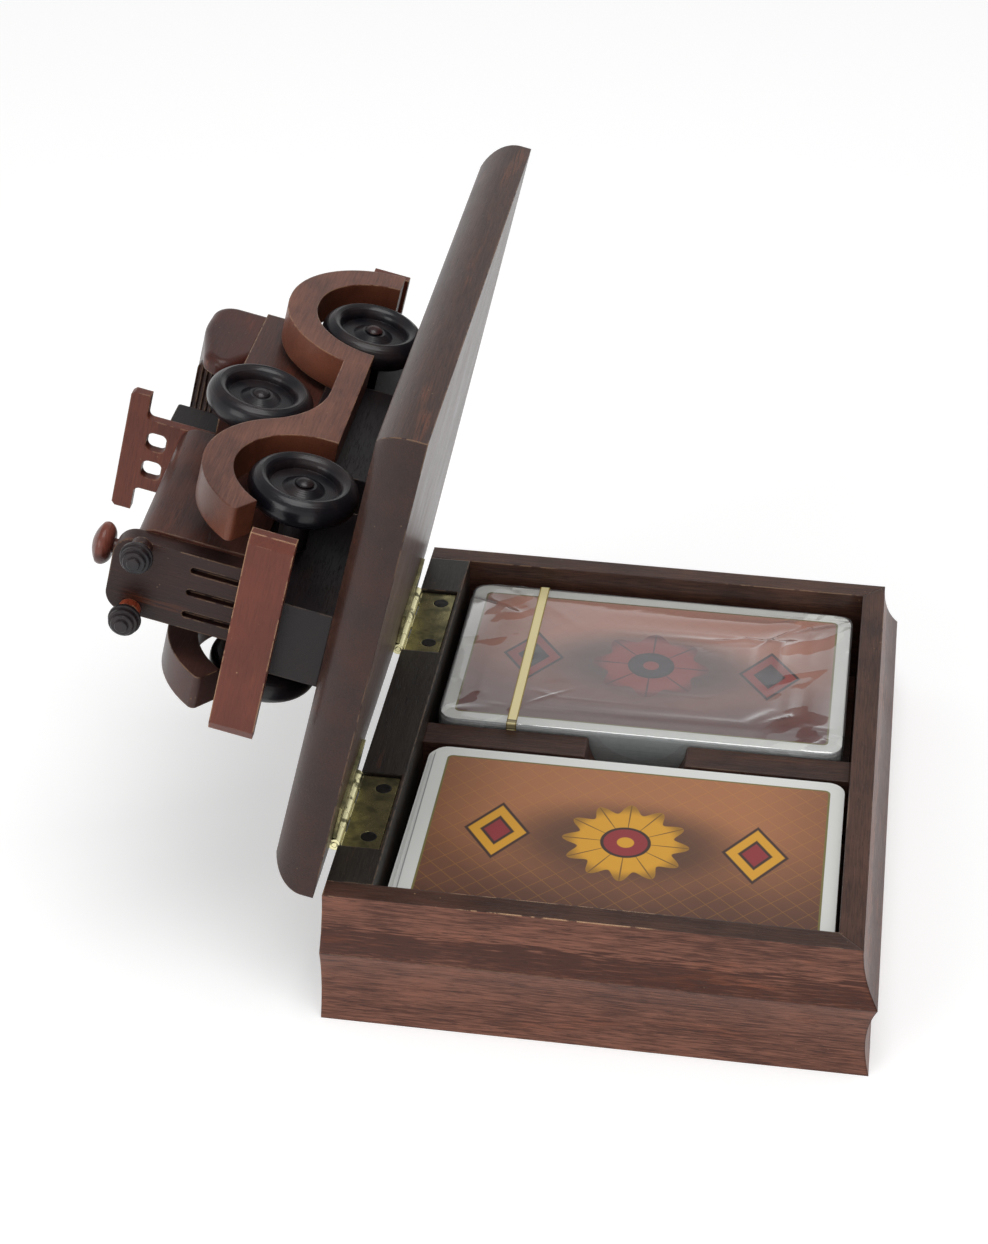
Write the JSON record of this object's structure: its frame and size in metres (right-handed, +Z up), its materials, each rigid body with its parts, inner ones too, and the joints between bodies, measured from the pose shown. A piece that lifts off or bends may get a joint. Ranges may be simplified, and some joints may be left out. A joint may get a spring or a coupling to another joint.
{
  "type": "playing card box",
  "caption": "Wooden box with two wells for decks of cards, a finger notch between them, and a hinged lid that carries a model vintage car.",
  "frame": {"origin": "centre of the case's underside, midway between the outer top edges", "axes": "+Z up, +X from the hinge side to the opening side, -Y towards the car's front"},
  "size_m": [0.1667, 0.1458, 0.1334],
  "materials": {
    "mahogany": "dark red-brown stain under satin lacquer",
    "black_lacquer": "black satin lacquer on turned wood",
    "brass": "plated, worn",
    "dark_screws": "darkened",
    "cards": "coated card, printed face",
    "clear_film": "clear glossy film",
    "gold_tape": "metallic gold"
  },
  "bodies": {
    "case": {"front_rail": "mahogany", "back_rail": "mahogany", "opening_rail": "mahogany", "hinge_rail": "mahogany", "base_panel": "mahogany", "well_divider": "mahogany", "case_leaf_screws": "dark_screws", "front_hinge_case_leaf": "brass", "front_hinge_pin": "brass", "back_hinge_case_leaf": "brass", "back_hinge_pin": "brass"},
    "open_deck": {"open_deck": "cards"},
    "sealed_deck": {"wrapped_deck": "cards", "cellophane_wrap": "clear_film", "tear_strip": "gold_tape"},
    "front_left_wheel": {"front_left_wheel": "black_lacquer"},
    "front_right_wheel": {"front_right_wheel": "black_lacquer"},
    "rear_left_wheel": {"rear_left_wheel": "black_lacquer"},
    "rear_right_wheel": {"rear_right_wheel": "black_lacquer"},
    "lid": {"lid_panel": "mahogany", "engine_hood": "mahogany", "radiator": "mahogany", "radiator_cap": "mahogany", "windscreen": "mahogany", "car_body": "mahogany", "seat": "mahogany", "folded_top": "mahogany", "left_fender": "mahogany", "right_fender": "mahogany", "front_bumper": "mahogany", "rear_bumper": "mahogany", "lid_dowels": "mahogany", "left_headlamp_stem": "mahogany", "right_headlamp_stem": "mahogany", "chassis": "black_lacquer", "dashboard": "black_lacquer", "axle_spacers": "black_lacquer", "left_headlamp": "black_lacquer", "right_headlamp": "black_lacquer", "spare_wheel": "black_lacquer", "spare_wheel_peg": "black_lacquer", "front_left_axle_peg": "black_lacquer", "front_right_axle_peg": "black_lacquer", "rear_left_axle_peg": "black_lacquer", "rear_right_axle_peg": "black_lacquer", "front_hinge_lid_leaf": "brass", "back_hinge_lid_leaf": "brass", "lid_leaf_screws": "dark_screws"}
  },
  "joints": [
    {"name": "lid_hinge", "type": "hinge", "parent": "case", "child": "lid", "pos_m": [-0.05475, 0, 0.02815], "axis": [0, -1, 0], "range_deg": [-77.6, 0]},
    {"name": "front_left_wheel_spin", "type": "hinge", "parent": "lid", "child": "front_left_wheel", "pos_m": [-0.06149, -0.0423, 0.10576], "axis": [0.2147, 0, 0.9767], "continuous": true},
    {"name": "front_right_wheel_spin", "type": "hinge", "parent": "lid", "child": "front_right_wheel", "pos_m": [-0.07047, -0.0423, 0.06493], "axis": [0.2147, 0, 0.9767], "continuous": true},
    {"name": "rear_left_wheel_spin", "type": "hinge", "parent": "lid", "child": "rear_left_wheel", "pos_m": [-0.06032, 0.0255, 0.1055], "axis": [0.2147, 0, 0.9767], "continuous": true},
    {"name": "rear_right_wheel_spin", "type": "hinge", "parent": "lid", "child": "rear_right_wheel", "pos_m": [-0.0693, 0.0255, 0.06468], "axis": [0.2147, 0, 0.9767], "continuous": true},
    {"name": "open_deck_lift", "type": "slide", "parent": "case", "child": "open_deck", "axis": [0, 0, 1], "range_m": [0, 0.03]},
    {"name": "sealed_deck_lift", "type": "slide", "parent": "case", "child": "sealed_deck", "axis": [0, 0, 1], "range_m": [0, 0.03]}
  ]
}
